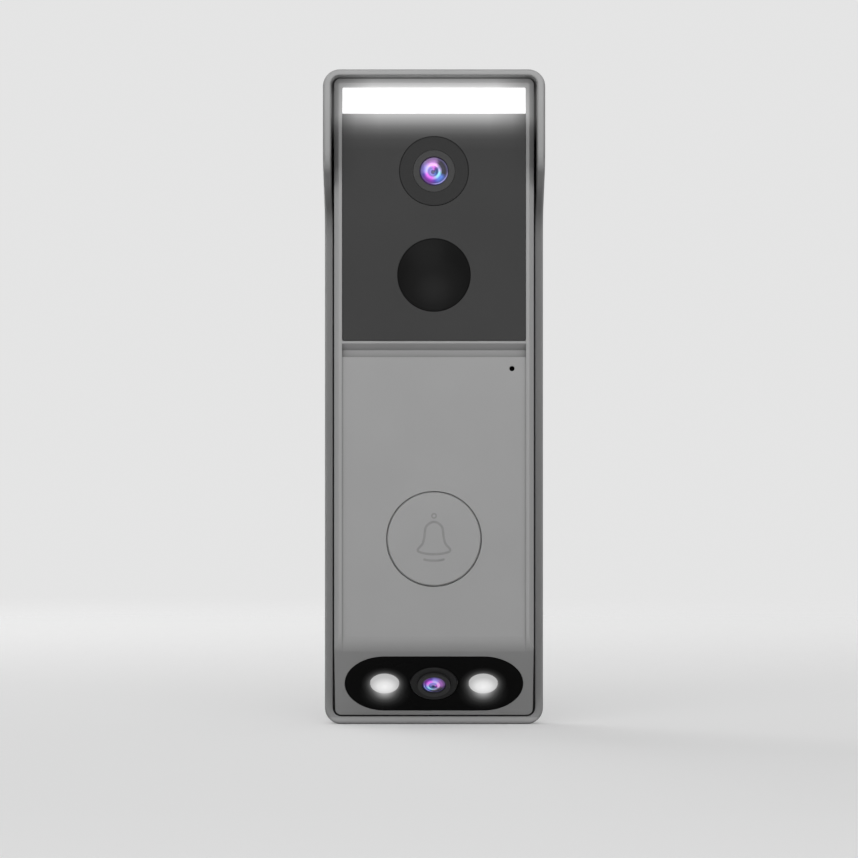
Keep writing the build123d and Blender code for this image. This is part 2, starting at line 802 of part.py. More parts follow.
# Sound: a microphone in its boot behind the face, a speaker behind the slots of the right side wall
mic_view = facing(0, mic_z, mic_x)
mic_back = face_inner - mic_boot_height
with BuildPart() as mic_boot:
    turned(mic_view, [(mic_hole, face_inner), (mic_boot_radius, face_inner), (mic_boot_radius, mic_back),
                      (mic_radius + screw_fit, mic_back), (mic_radius + screw_fit, mic_back + mic_height),
                      (mic_hole, mic_back + mic_height)])

with BuildPart() as microphone:
    with BuildSketch(facing(mic_back, mic_z, mic_x)):
        Circle(mic_radius)
    extrude(amount=mic_height)

with BuildPart() as speaker_gasket:
    with BuildSketch(side_view):
        RectangleRounded(speaker_height, speaker_length, speaker_corner)
        RectangleRounded(speaker_height - 2 * speaker_frame_rim, speaker_length - 2 * speaker_frame_rim,
                         speaker_corner - speaker_frame_rim, mode=Mode.SUBTRACT)
    extrude(amount=-speaker_gasket_thickness)

speaker_view = side_view.offset(-speaker_gasket_thickness)
with BuildPart() as speaker_frame:
    with BuildSketch(speaker_view):
        RectangleRounded(speaker_height, speaker_length, speaker_corner)
    extrude(amount=-speaker_thickness)
    with BuildSketch(speaker_view):
        RectangleRounded(speaker_height - 2 * speaker_frame_rim, speaker_length - 2 * speaker_frame_rim,
                         speaker_corner - speaker_frame_rim)
    extrude(amount=-speaker_cone_depth, mode=Mode.SUBTRACT)

with BuildPart() as speaker_diaphragm:
    with BuildSketch(speaker_view.offset(-speaker_cone_depth)):
        SlotOverall(speaker_length - 2 * cone_inset, speaker_height - 2 * cone_inset, rotation=90)
    extrude(amount=speaker_cone_depth - speaker_cone_skin, taper=cone_taper)

# Chin: black window, camera, two lamp lenses over their LEDs, and the board that carries them
with BuildPart() as chin_window:
    with BuildSketch(on_chin(chin_floor)):
        SlotOverall(chin_window_width, chin_window_height)
        Circle(chin_camera_hole, mode=Mode.SUBTRACT)
        with Locations(*lamp_places):
            Circle(lamp_radius + lamp_gap, mode=Mode.SUBTRACT)
    extrude(amount=chin_window_thickness)

with BuildPart() as chin_bezel:
    chin_rim = chin_camera_hole - bezel_gap
    turned(on_chin(), [(chin_camera_opening, chin_floor), (chin_rim, chin_floor), (chin_rim, 0),
                       (chin_rim - chin_bezel_proud, chin_bezel_proud),
                       (chin_camera_opening, chin_bezel_proud)])

chin_barrel, chin_glass, chin_holder, chin_sensor = lens_stack(
    on_chin(), chin_board_front, chin_camera_proud, chin_camera_neck, chin_camera_barrel,
    chin_camera_element, chin_camera_holder)

with BuildPart() as lamp_lenses:
    for place in lamp_places:
        lamp_view = on_chin(0, place[0])
        pocket_top = chin_board_front + lamp_pocket_depth
        with BuildSketch(turning(lamp_view)):
            with BuildLine():
                TangentArc((0, lamp_dome), (lamp_radius, 0), tangent=(1, 0))
                Polyline((lamp_radius, 0), (lamp_radius, chin_inside), (lamp_foot, chin_board_front),
                         (lamp_pocket, chin_board_front), (lamp_pocket, pocket_top), (0, pocket_top),
                         (0, lamp_dome))
            make_face()
        revolve(axis=Axis(lamp_view.origin, lamp_view.z_dir))

with BuildPart() as chin_leds:
    with BuildSketch(on_chin(chin_board_front)):
        with Locations(*lamp_places):
            Rectangle(chin_led_side, chin_led_side)
    extrude(amount=chin_led_thickness)

with BuildPart() as chin_board:
    with BuildSketch(on_chin(chin_board_back)):
        Rectangle(chin_board_width, chin_board_height)
        with Locations(*chin_post_places):
            Circle(small_screw_radius + screw_fit, mode=Mode.SUBTRACT)
    extrude(amount=chin_board_thickness)

with BuildPart() as chin_screws:
    for place in chin_post_places:
        screw(on_chin(0, place[0]), chin_board_back - small_screw_head_height, chin_board_back,
              chin_board_front + small_screw_grip, small_screw_radius, small_screw_head)

# Inner assembly: main board with its chips, battery, antenna and wiring terminals
with BuildPart() as main_board:
    with BuildSketch(facing(board_back)):
        span(board_half, boss_heights[2] - boss_radius, cavity_top - board_top_margin)
        with Locations(*boss_places):
            Circle(screw_radius + screw_fit, mode=Mode.SUBTRACT)
    extrude(amount=board_thickness)

with BuildPart() as light_connector:
    with BuildSketch(facing(board_front, bar_z)):
        Rectangle(light_connector_width, light_connector_height)
    extrude(amount=light_back - light_board_thickness - board_front)

# Flat ribbon from the main board's front down to the back of the chin board
ribbon_z = chin_top + ribbon_rise
ribbon_level = chin_board_back - connector_thickness / 2
ribbon_depth = board_front + connector_thickness / 2
ribbon_exit = chin_board_height / 2 - ribbon_lead
with BuildPart() as ribbon_connectors:
    with BuildSketch(facing(board_front, ribbon_z)):
        Rectangle(connector_width, connector_length)
    extrude(amount=connector_thickness)
    with BuildSketch(on_chin(chin_board_back)):
        with Locations((0, ribbon_exit - connector_length / 2)):
            Rectangle(connector_width, connector_length)
    extrude(amount=-connector_thickness)

with BuildPart() as chin_ribbon:
    ribbon_top = ribbon_z - connector_length / 2
    into_chin = on_chin().from_local_coords((0, ribbon_exit, ribbon_level))
    over_chin = on_chin().from_local_coords((0, ribbon_exit + ribbon_slack, ribbon_level))
    with BuildSketch(Plane.YZ):
        with BuildLine():
            FilletPolyline((-ribbon_depth, ribbon_top), (-ribbon_depth, ribbon_top - ribbon_lead),
                           (over_chin.Y, over_chin.Z), (into_chin.Y, into_chin.Z), radius=ribbon_bend)
        trace(line_width=ribbon_thickness)
    extrude(amount=ribbon_width / 2, both=True)

with BuildPart() as radio_module:
    with BuildSketch(facing(board_front, chip_z, -radio_width / 2 - chip_gap)):
        Rectangle(radio_width, radio_length)
    extrude(amount=radio_thickness)

with BuildPart() as processor:
    with BuildSketch(facing(board_front, chip_z, processor_side / 2 + chip_gap)):
        Rectangle(processor_side, processor_side)
    extrude(amount=processor_thickness)

with BuildPart() as battery_pack:
    battery_top = boss_heights[1] - standoff_radius - battery_gap
    battery_bottom = boss_heights[2] + standoff_radius + battery_gap
    with BuildSketch(facing(cover_inner)):
        span(cavity_half - battery_inset, battery_bottom, battery_top)
    extrude(amount=battery_thickness)
    fillet(battery_pack.edges().filter_by(Axis.Y), battery_corner)
    fillet(battery_pack.faces().sort_by(Axis.Y)[0].edges(), battery_corner)

with BuildPart() as antenna:
    with BuildSketch(side_view.offset(-2 * cavity_half)):
        Rectangle(antenna_width, antenna_length)
    extrude(amount=antenna_thickness)

with BuildPart() as terminal_posts:
    for x, z in terminal_places:
        post_bore = terminal_screw + screw_fit
        post_flange = terminal_inside + terminal_flange_thickness
        turned(facing(0, z, x), [(post_bore, terminal_floor), (terminal_post, terminal_floor),
                                 (terminal_post, terminal_inside), (terminal_flange, terminal_inside),
                                 (terminal_flange, post_flange), (terminal_post, post_flange),
                                 (terminal_post, board_back), (post_bore, board_back)])

with BuildPart() as terminal_screws:
    for x, z in terminal_places:
        screw(facing(0, z, x), terminal_floor - terminal_head_height, terminal_floor,
              post_flange, terminal_screw, terminal_head)

pieces = {
    "rain_hood": rain_hood,
    "rear_cover": rear_cover,
    "security_screw": security_screw,
    "housing_gasket": housing_gasket,
    "housing_screws": housing_screws,
    "front_shell": front_shell,
    "light_diffuser": light_diffuser,
    "light_reflector": light_reflector,
    "light_board": light_board,
    "light_leds": light_leds,
    "front_window": front_window,
    "window_tape": window_tape,
    "camera_bezel": camera_bezel,
    "camera_barrel": camera_barrel_part,
    "camera_glass": camera_glass,
    "camera_holder": camera_holder_part,
    "camera_sensor": camera_sensor,
    "pir_lens": pir_lens,
    "pir_socket": pir_socket,
    "pir_sensor": pir_sensor,
    "button_cap": button_cap,
    "button_membrane": button_membrane,
    "button_bracket": button_bracket,
    "bracket_screws": bracket_screws,
    "switch_body": switch_body,
    "switch_plunger": switch_plunger,
    "mic_boot": mic_boot,
    "microphone": microphone,
    "speaker_gasket": speaker_gasket,
    "speaker_frame": speaker_frame,
    "speaker_diaphragm": speaker_diaphragm,
    "chin_window": chin_window,
    "chin_bezel": chin_bezel,
    "chin_barrel": chin_barrel,
    "chin_glass": chin_glass,
    "chin_holder": chin_holder,
    "chin_sensor": chin_sensor,
    "lamp_lenses": lamp_lenses,
    "chin_leds": chin_leds,
    "chin_board": chin_board,
    "chin_screws": chin_screws,
    "main_board": main_board,
    "light_connector": light_connector,
    "ribbon_connectors": ribbon_connectors,
    "chin_ribbon": chin_ribbon,
    "radio_module": radio_module,
    "processor": processor,
    "battery_pack": battery_pack,
    "antenna": antenna,
    "terminal_posts": terminal_posts,
    "terminal_screws": terminal_screws,
}
for name, piece in pieces.items():
    piece.part.label = name
    export_step(piece.part, f"parts/{name}.step")
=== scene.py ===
import json
from math import cos, pi, radians, sin
import bmesh
import bpy
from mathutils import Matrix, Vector
from mathutils.geometry import interpolate_bezier


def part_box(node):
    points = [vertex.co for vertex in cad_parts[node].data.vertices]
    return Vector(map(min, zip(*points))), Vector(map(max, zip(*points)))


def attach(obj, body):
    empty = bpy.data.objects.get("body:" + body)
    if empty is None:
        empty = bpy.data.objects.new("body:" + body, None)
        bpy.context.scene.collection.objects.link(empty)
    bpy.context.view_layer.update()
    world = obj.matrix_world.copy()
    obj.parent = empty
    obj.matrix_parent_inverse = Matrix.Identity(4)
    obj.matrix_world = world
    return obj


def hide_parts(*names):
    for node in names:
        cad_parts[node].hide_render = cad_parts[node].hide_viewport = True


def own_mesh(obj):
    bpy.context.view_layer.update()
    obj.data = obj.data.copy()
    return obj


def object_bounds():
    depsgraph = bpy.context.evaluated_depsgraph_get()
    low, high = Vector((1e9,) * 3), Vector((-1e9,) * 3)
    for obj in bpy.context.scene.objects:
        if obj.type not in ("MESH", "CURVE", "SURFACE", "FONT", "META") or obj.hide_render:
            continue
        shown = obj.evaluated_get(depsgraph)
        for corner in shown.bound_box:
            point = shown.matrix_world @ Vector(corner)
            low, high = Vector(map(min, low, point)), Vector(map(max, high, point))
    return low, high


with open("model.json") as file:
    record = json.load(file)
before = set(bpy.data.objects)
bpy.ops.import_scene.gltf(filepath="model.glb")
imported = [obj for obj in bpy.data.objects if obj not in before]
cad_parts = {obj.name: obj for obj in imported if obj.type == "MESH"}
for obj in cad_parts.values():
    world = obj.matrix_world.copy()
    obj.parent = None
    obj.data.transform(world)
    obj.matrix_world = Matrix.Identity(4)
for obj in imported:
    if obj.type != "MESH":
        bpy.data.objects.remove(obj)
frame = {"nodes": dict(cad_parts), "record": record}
cad_low, cad_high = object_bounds()
nodes = frame["nodes"]
for imported in list(bpy.data.materials):
    bpy.data.materials.remove(imported)
scene = bpy.context.scene
mm = 0.001


def middle(node):
    """Middle of a node's box."""
    low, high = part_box(node)
    return (low + high) / 2


# Places in the row frame, in metres: X right, Y into the wall, Z up
right = Vector((1, 0, 0))
inward = Vector((0, 1, 0))
up = Vector((0, 0, 1))
hood_wall = 2.0 * mm
hood_roof = 1.5 * mm
hood_low, hood_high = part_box("rain_hood")
mouth_half = hood_high.x - hood_wall
mouth_top = hood_high.z - hood_roof
mouth_round = 2.2 * mm
shell_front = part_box("front_shell")[0].y
bar_seam = 0.1 * mm
bar_low, bar_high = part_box("light_diffuser")
bar_top = bar_high.z + bar_seam
window_top = (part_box("front_window")[1].z + bar_low.z) / 2
camera_middle = middle("camera_glass")
camera_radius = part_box("camera_glass")[1].x
pir_middle = middle("pir_lens")
button_z = middle("button_cap").z
face_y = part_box("button_cap")[0].y
chin_tilt = radians(45)
chin_up = Vector((0, -sin(chin_tilt), cos(chin_tilt)))
chin_middle = middle("chin_window")
chin_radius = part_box("chin_glass")[1].x
lamp_radius = 3.6 * mm
lamp_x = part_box("lamp_lenses")[1].x - lamp_radius


def srgb(level):
    """Linear value of a display level between 0 and 255."""
    share = level / 255
    return share / 12.92 if share < 0.04045 else ((share + 0.055) / 1.055) ** 2.4


def tint(red, green, blue):
    """Linear colour of three display levels."""
    return (srgb(red), srgb(green), srgb(blue), 1)


def grey(level):
    """Colour of one linear level."""
    return (level, level, level, 1)


white = grey(1)


class Tree:
    """Short calls that add nodes to a node tree and link them."""

    def __init__(self, tree):
        self.tree = tree

    def add(self, kind, **settings):
        node = self.tree.nodes.new(kind)
        for key, value in settings.items():
            setattr(node, key, value)
        return node

    def feed(self, value, socket):
        """Link a socket, or set a plain value."""
        if hasattr(value, "is_output"):
            self.tree.links.new(value, socket)
        else:
            socket.default_value = value

    def math(self, operation, first, second=0.0):
        node = self.add("ShaderNodeMath", operation=operation)
        self.feed(first, node.inputs[0])
        self.feed(second, node.inputs[1])
        return node.outputs[0]

    def shown_ray(self):
        """One for rays from the camera, mirrors or clear things, zero for soft light between surfaces."""
        path = self.add("ShaderNodeLightPath")
        shown = path.outputs["Is Camera Ray"]
        for kind in ("Is Glossy Ray", "Is Transmission Ray"):
            shown = self.math("MAXIMUM", shown, path.outputs[kind])
        return shown


class Paint(Tree):
    """A material built from nodes round one Principled shader."""

    def __init__(self, name, colour, roughness, specular=0.5, metallic=0.0):
        self.material = bpy.data.materials.new(name)
        self.material.use_nodes = True
        super().__init__(self.material.node_tree)
        self.shader = self.tree.nodes["Principled BSDF"]
        self.colour = colour
        self.roughness = roughness
        self.set("Base Color", colour)
        self.set("Roughness", roughness)
        self.set("Specular IOR Level", specular)
        self.set("Metallic", metallic)
        self.place = self.add("ShaderNodeTexCoord").outputs["Object"]

    def set(self, socket, value):
        self.shader.inputs[socket].default_value = value

    def to(self, value, socket):
        self.tree.links.new(value, self.shader.inputs[socket])

    def along(self, origin, direction):
        """Distance along a direction from an origin, in metres."""
        away = self.add("ShaderNodeVectorMath", operation="SUBTRACT")
        self.feed(self.place, away.inputs[0])
        away.inputs[1].default_value = origin
        dot = self.add("ShaderNodeVectorMath", operation="DOT_PRODUCT")
        self.feed(away.outputs[0], dot.inputs[0])
        dot.inputs[1].default_value = direction
        return dot.outputs["Value"]

    def above(self, height):
        return self.along((0, 0, height), up)

    def below(self, height):
        return self.along((0, 0, height), -up)

    def behind(self, front):
        """Distance from a front plane towards the wall."""
        return self.along((0, front, 0), inward)

    def aside(self):
        """Distance from the middle plane, the same on both sides."""
        return self.math("ABSOLUTE", self.along((0, 0, 0), right))

    def beyond(self, value, limit=0.0):
        """How far a value lies past a limit, or zero."""
        return self.math("MAXIMUM", self.math("SUBTRACT", value, limit), 0.0)

    def length(self, first, second):
        """Length of the diagonal of two distances."""
        first_square = self.math("POWER", first, 2.0)
        second_square = self.math("POWER", second, 2.0)
        return self.math("SQRT", self.math("ADD", first_square, second_square))

    def ramp(self, value, stops, smooth=False):
        """Colour or grey from (position, colour) stops."""
        node = self.add("ShaderNodeValToRGB")
        band = node.color_ramp
        band.interpolation = "EASE" if smooth else "LINEAR"
        while len(band.elements) < len(stops):
            band.elements.new(1)
        for element, (position, colour) in zip(band.elements, stops):
            element.position = position
            element.color = colour if isinstance(colour, tuple) else grey(colour)
        self.feed(value, node.inputs["Fac"])
        return node.outputs["Color"]

    def over(self, value, stops):
        """Grey from (distance in millimetres, grey) stops."""
        reach = stops[-1][0]
        share = self.math("DIVIDE", value, reach * mm)
        return self.ramp(share, [(place / reach, level) for place, level in stops])

    def mix(self, kind, share, first, second):
        """Mix of two colours, through the colour sockets of the Mix node."""
        node = self.add("ShaderNodeMix", data_type="RGBA", blend_type=kind)
        self.feed(share, node.inputs[0])
        self.feed(first, node.inputs[6])
        self.feed(second, node.inputs[7])
        return node.outputs[2]

    def times(self, first, *others):
        for other in others:
            first = self.mix("MULTIPLY", 1.0, first, other)
        return first

    def plus(self, first, *others):
        for other in others:
            first = self.mix("ADD", 1.0, first, other)
        return first

    def occlusion_shade(self, reach, least, own=False):
        """Painted shade: grey that falls to a least share in corners, shut in by near pieces or by the
        piece's own walls.
        """
        node = self.add("ShaderNodeAmbientOcclusion", samples=8, only_local=own)
        node.inputs["Distance"].default_value = reach
        return self.ramp(node.outputs["AO"], [(0.0, least), (1.0, 1.0)])

    def glow(self, colour, strength=1.0):
        self.to(colour, "Emission Color")
        self.set("Emission Strength", strength)

    def noise(self, scale, detail=2.0):
        node = self.add("ShaderNodeTexNoise")
        self.feed(self.place, node.inputs["Vector"])
        node.inputs["Scale"].default_value = scale
        node.inputs["Detail"].default_value = detail
        return node.outputs["Fac"]

    def mottle(self, scale, spread, gloss=0.15):
        """Vary the base colour and the gloss with noise."""
        low = tuple(value * (1 - spread) for value in self.colour[:3]) + (1,)
        high = tuple(value * (1 + spread) for value in self.colour[:3]) + (1,)
        cloud = self.noise(scale)
        self.shade = self.ramp(cloud, [(0.3, low), (0.7, high)])
        self.to(self.shade, "Base Color")
        smooth = self.roughness * (1 - gloss)
        rough = self.roughness * (1 + gloss)
        self.to(self.ramp(cloud, [(0.3, smooth), (0.7, rough)]), "Roughness")

    def grain(self, scale, height, soft_edge=0.0):
        """Fine relief, and edges that catch the light as if rounded."""
        bump = self.add("ShaderNodeBump")
        bump.inputs["Strength"].default_value = 1
        bump.inputs["Distance"].default_value = height
        self.feed(self.noise(scale), bump.inputs["Height"])
        if soft_edge:
            bevel = self.add("ShaderNodeBevel", samples=4)
            bevel.inputs["Radius"].default_value = soft_edge
            self.feed(bevel.outputs[0], bump.inputs["Normal"])
        self.to(bump.outputs[0], "Normal")


paints = {}


def paint_for(slot, colour, roughness, specular=0.5, metallic=0.0):
    """Start the paint of one material slot, from a colour or a grey level."""
    shade = colour if isinstance(colour, tuple) else grey(colour)
    paint = Paint(slot, shade, roughness, specular, metallic)
    paints[slot] = paint.material
    return paint


def plain(slot, colour, roughness, specular=0.5, metallic=0.0):
    """A paint in one colour with a little mottle and grain."""
    paint = paint_for(slot, colour, roughness, specular, metallic)
    paint.mottle(900, 0.06)
    paint.grain(3600, 0.004 * mm)
    return paint


def plastic(slot, level, soft_edge=0.12 * mm, specular=0.4):
    """Satin grey housing plastic with a fine moulded grain."""
    paint = paint_for(slot, level, 0.5, specular)
    paint.mottle(60, 0.02, 0.04)
    paint.grain(5000, 0.006 * mm, soft_edge)
    return paint


# Colours of the painted reflections in the lens coatings
lavender = tint(160, 148, 240)
ice = tint(198, 188, 252)
pink = tint(240, 120, 252)
blush = tint(252, 180, 255)
cyan = tint(160, 232, 255)
blue = tint(88, 124, 220)
dusk = tint(58, 84, 150)
haze = tint(150, 146, 196)
mauve = tint(154, 94, 178)
lilac = tint(138, 124, 216)
violet = tint(136, 48, 176)
indigo = tint(92, 62, 180)
night = tint(46, 44, 58)

# Colours of the painted reflections round a lens, by the share of a turn counter-clockwise from the left
core_turn = [
    (0.0, lavender), (0.2, lavender), (0.3, blue), (0.42, dusk),
    (0.56, dusk), (0.68, violet), (0.76, pink), (0.88, lavender),
]
ring_turn = [
    (0.0, ice), (0.07, pink), (0.2, pink), (0.27, ice), (0.33, cyan), (0.45, cyan),
    (0.52, ice), (0.6, haze), (0.7, blush), (0.82, blush), (0.92, ice),
]
band_turn = [
    (0.0, lilac), (0.05, indigo), (0.11, violet), (0.2, violet), (0.26, indigo), (0.33, blue),
    (0.4, blue), (0.46, night), (0.65, night), (0.74, mauve), (0.84, mauve), (0.94, lilac),
]
arc_turn = [(0.2, 0.0), (0.28, 0.5), (0.44, 0.55), (0.5, 0.16), (0.62, 0.12), (0.7, 0.0)]

# How far the painted reflection rings of a coating stand off the lens's middle, as shares of its radius
ring_off = 0.07
arc_off = 0.06


def lens_paint(slot, centre, lens_up, radius, turn, lit):
    """Coated lens with painted reflections and highlights: a dim pupil, a core, a bright ring a little aside,
    an outer band, a thin rim and a bright arc, all glowing a little as painted light.
    """
    paint = paint_for(slot, 0.1, 0.08)
    paint.set("Coat Weight", 0.25)
    paint.set("Coat Roughness", 0.03)
    across = paint.along(centre, right)
    rise = paint.along(centre, lens_up)
    ring_across = paint.math("ADD", across, ring_off * radius)
    pupil_rise = paint.math("ADD", rise, ring_off * radius)
    arc_across = paint.math("SUBTRACT", across, arc_off * radius)
    from_middle = paint.math("DIVIDE", paint.length(across, rise), radius)
    from_ring = paint.math("DIVIDE", paint.length(ring_across, rise), radius)
    from_pupil = paint.math("DIVIDE", paint.length(ring_across, pupil_rise), radius)
    from_arc = paint.math("DIVIDE", paint.length(arc_across, rise), radius)
    # One and a half turns put zero at the left and keep the share above zero
    angle = paint.math("ADD", paint.math("ARCTAN2", rise, across), turn)
    share = paint.math("FRACT", paint.math("ADD", paint.math("DIVIDE", angle, 2 * pi), 1.5))
    in_band = paint.ramp(from_ring, [(0.44, 0.0), (0.5, 1.0)])
    in_ring = paint.ramp(from_ring, [(0.34, 0.0), (0.41, 1.0), (0.46, 1.0), (0.64, 0.0)])
    disc = paint.mix("MIX", in_band, paint.ramp(share, core_turn), paint.ramp(share, band_turn))
    coat = paint.mix("MIX", in_ring, disc, paint.ramp(share, ring_turn))
    pupil_stops = [(0.0, 0.16), (0.1, 0.22), (0.19, 0.85), (0.28, 0.6), (0.36, 0.8), (0.43, 1.0)]
    pupil = paint.ramp(from_pupil, pupil_stops)
    fade = paint.ramp(from_middle, [(0.67, 1.0), (0.79, 0.6), (0.88, 0.3), (0.96, 0.1)])
    rim = paint.ramp(from_middle, [(0.8, 0.0), (0.87, 0.12), (0.95, 0.02)])
    arc = paint.ramp(from_arc, [(0.83, 0.0), (0.875, 1.0), (0.895, 1.0), (0.94, 0.0)])
    arc_lit = paint.times(arc, paint.ramp(share, arc_turn), ice)
    colour = paint.plus(paint.times(coat, pupil, fade), paint.times(rim, lavender), arc_lit)
    paint.to(colour, "Base Color")
    # Painted light: the lens colours glow a little
    paint.glow(colour, lit)


def beside_bar(paint):
    """Painted light: a glow that stands for the light the bar sheds on a piece round it, from the distance to
    the bar's front outline.
    """
    aside = paint.aside()
    above = paint.beyond(paint.above(bar_top))
    below = paint.beyond(paint.below(window_top))
    away = paint.length(paint.math("MAXIMUM", above, below), paint.beyond(aside, bar_high.x))
    bleed = paint.over(away, [(0, 0.5), (1, 0.34), (2, 0.22), (3.5, 0.08), (5, 0.03), (7, 0)])
    return paint.times(bleed, paint.over(aside, [(15.5, 1), (21, 0.56), (23, 0.46), (26, 0.46)]))


# Rain hood: painted shade in corners near other pieces, inside the visor, on its front lip and down its
# sides; painted light from the bar and at the foot
hood = plastic("hood_grey", 0.33, 0.45 * mm, 0.2)
hood_side = hood.aside()
hood_down = hood.below(hood_high.z)
hood_back = hood.behind(hood_low.y)
# Painted shade on the surfaces inside the visor's walls and under its roof
in_walls = hood.over(hood.beyond(hood_side, mouth_half), [(0.05, 1), (0.35, 0)])
in_roof = hood.over(hood_down, [(1.2, 0), (1.45, 1), (32, 1), (38, 0)])
in_mouth = hood.over(hood_back, [(0.2, 0), (0.8, 1), (31, 1), (34, 0)])
visor_shade = hood.ramp(hood.times(in_walls, in_roof, in_mouth), [(0.0, 1.0), (1.0, 0.5)])
# Painted shade: the hood darker from 7 mm below its top downwards
side_shade = hood.over(hood_down, [(7, 1), (19, 0.86), (29, 0.86), (36, 0.9), (44, 0.91)])
# Painted shade on the front lip, darker at its inner and outer edges
lip_side = hood.beyond(hood_side, mouth_half - mouth_round)
lip_rise = hood.beyond(hood.above(mouth_top - mouth_round))
lip_past = hood.beyond(hood.length(lip_side, lip_rise), mouth_round)
lip_inner = hood.over(lip_past, [(0, 0.4), (0.2, 0.7), (0.35, 0.9), (0.55, 1)])
lip_inset = hood.math("SUBTRACT", hood_high.x, hood_side)
lip_outer = hood.over(lip_inset, [(0.1, 0.72), (0.45, 0.86), (0.75, 1)])
at_lip = hood.over(hood_back, [(0.5, 1), (1.1, 0)])
lip_shade = hood.mix("MIX", at_lip, white, hood.times(lip_inner, lip_outer))
# Painted shade in corners near other pieces, times the painted shades above and the mottled colour
hood_tone = hood.times(hood.occlusion_shade(20 * mm, 0.5), visor_shade, side_shade, lip_shade, hood.shade)
hood.to(hood_tone, "Base Color")
# Painted light: a glow from the bar on the inner walls of the visor
bar_down = hood.over(hood_down, [(2, 0.1), (5, 0.7)])
bar_before = hood.over(hood_back, [(35.1, 1), (36, 0)])
bar_bleed = hood.times(beside_bar(hood), in_walls, bar_down, bar_before)
# Painted light: a faint glow on the front of the hood's bottom lip
foot_rise = hood.above(hood_low.z)
foot_lit = hood.over(foot_rise, [(0.3, 0), (0.7, 0.025), (1, 0.07), (1.6, 0.07), (1.9, 0)])
foot_before = hood.over(hood_back, [(29.3, 1), (29.8, 0)])
hood.glow(hood.plus(bar_bleed, hood.times(foot_lit, foot_before)))

# Front shell: painted shade in its own corners and on the rim under the visor, painted light from the bar on
# its front
shell = plastic("shell_grey", 0.298)
# Painted shade where near pieces shut the shell in, only under the visor
under_visor = shell.over(shell.below(hood_high.z), [(23.6, 1), (25.6, 0)])
rim_shade = shell.mix("MIX", under_visor, white, shell.occlusion_shade(10 * mm, 0.6))
# Painted shade in the shell's own corners and grooves
corner_shade = shell.occlusion_shade(8 * mm, 0.35, own=True)
shell.to(shell.times(corner_shade, rim_shade, shell.shade), "Base Color")
# Painted light: a glow from the bar on the shell's front
at_front = shell.over(shell.behind(shell_front), [(1.3, 1), (2.5, 0)])
shell.glow(shell.times(beside_bar(shell), at_front))

# Other housing plastics
plastic("button_grey", 0.298)
plastic("cover_grey", 0.2)

# Lit pieces: the light bar, and the two lamps of the chin
bar = paint_for("diffuser_white", (0.86, 0.86, 0.85, 1), 0.35)
bar.mottle(300, 0.02)
bar.grain(900, 0.002 * mm)
bar.set("Emission Color", white)
bar.set("Emission Strength", 0.7)

lamp_low = 0.9 * mm
lamp = paint_for("lamp_clear", 0.2, 0.25, 0.3)
lamp_side = lamp.math("SUBTRACT", lamp.aside(), lamp_x)
lamp_rise = lamp.math("ADD", lamp.along(chin_middle, chin_up), lamp_low)
lamp_away = lamp.length(lamp_side, lamp_rise)
lamp.glow(lamp.over(lamp_away, [(0, 0.78), (1.8, 0.66), (3.4, 0.4), (5, 0.34)]))
lamp.grain(900, 0.01 * mm)

# Dark window: a painted glow below the bar stands for the bar's light bleeding into its upper edge
window = paint_for("window_smoke", 0.026, 0.22, 0.4)
window.mottle(40, 0.03)
window.grain(700, 0.0015 * mm)
bleed_stops = [(0, 0.5), (1.26, 0.345), (3.15, 0.147), (4, 0.09), (5.4, 0.035), (6.5, 0.013), (9, 0)]
bleed_down = window.over(window.below(window_top), bleed_stops)
bleed_ends = window.over(window.aside(), [(13.8, 1), (19.5, 0.72), (23, 0.3)])
window.glow(window.times(bleed_down, bleed_ends))

# Cameras and motion sensor
plain("bezel_black", 0.017, 0.4, 0.3)
plain("barrel_black", 0.04, 0.45, 0.3)
plain("ring_black", 0.012, 0.45, 0.2)
plain("neck_black", 0.025, 0.45, 0.3)
lens_paint("camera_coat", camera_middle, up, camera_radius, 0.0, 0.15)
lens_paint("chin_coat", chin_middle, chin_up, chin_radius, radians(90), 0.4)

# Motion sensor dome: a painted reflection, lighter low in the middle and dark at the top, stands for the
# bright surroundings below the dome and the visor above it
sheen_low = 4 * mm
pir = paint_for("pir_black", 0.003, 0.32, 0.1)
pir.mottle(60, 0.05)
pir.grain(700, 0.001 * mm)
sheen_middle = pir_middle - up * sheen_low
sheen_away = pir.length(pir.along(sheen_middle, right), pir.along(sheen_middle, up))
pir_painted_sheen = pir.over(sheen_away, [(0, 0.012), (2.5, 0.009), (5.2, 0.0035), (9, 0)])
pir.to(pir.plus(pir.shade, pir_painted_sheen), "Base Color")

# Chin window, with painted light: a tight halo round each lamp and a wider glow below it
spill_low = 3.2 * mm
pill = paint_for("chin_black", 0.0025, 0.3, 0.03)
pill.mottle(60, 0.05)
pill.grain(700, 0.001 * mm)
pill_side = pill.math("SUBTRACT", pill.aside(), lamp_x)
pill_rise = pill.along(chin_middle, chin_up)
from_lamp = pill.beyond(pill.length(pill_side, pill_rise), lamp_radius)
halo = pill.over(from_lamp, [(0, 0.15), (0.3, 0.09), (0.6, 0.048), (1, 0.025), (1.5, 0.009), (2.4, 0)])
below_lamp = pill.length(pill_side, pill.math("ADD", pill_rise, spill_low))
spill_stops = [(0.9, 0.26), (1.6, 0.178), (2.35, 0.1), (3, 0.05), (4.1, 0.016), (5.2, 0.004), (6.5, 0)]
pill.glow(pill.plus(halo, pill.over(below_lamp, spill_stops)))

# Pieces inside and behind
steel = plain("screw_steel", 0.55, 0.3, metallic=1.0)
